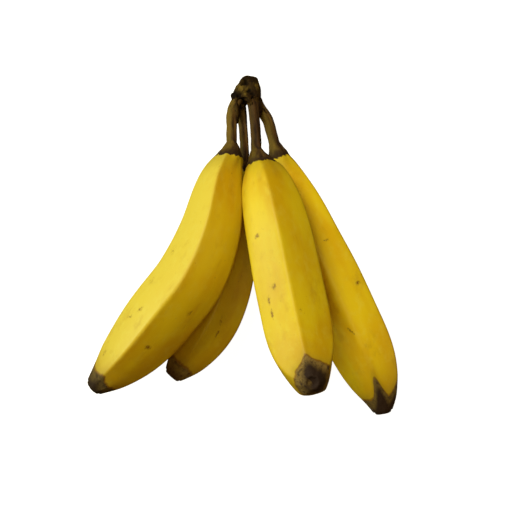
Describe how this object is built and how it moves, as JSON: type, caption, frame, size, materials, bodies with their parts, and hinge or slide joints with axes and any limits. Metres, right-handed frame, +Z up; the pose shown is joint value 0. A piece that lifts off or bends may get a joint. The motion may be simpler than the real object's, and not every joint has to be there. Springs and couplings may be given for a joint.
{
  "type": "hand of bananas",
  "caption": "Small hand of ripe yellow bananas on thin brown stems, joined at a woody cut crown and lying on a table.",
  "frame": {"origin": "centre of the hand's own box, at table height", "axes": "+Y from the blossom ends towards the crown, +Z up from the table, +X to the right of someone who looks down with the crown at the top"},
  "size_m": [0.1636, 0.1815, 0.0951],
  "materials": {
    "peel": "ripe yellow peel with a waxy skin, satin, brown at the stem and near black at the blossom end",
    "crown_wood": "dark brown dried crown, rough and matte, with a black cut hollow"
  },
  "bodies": {
    "root": {"crown": "crown_wood", "banana_left": "peel", "banana_front": "peel", "banana_right": "peel", "banana_back": "peel"}
  },
  "joints": []
}
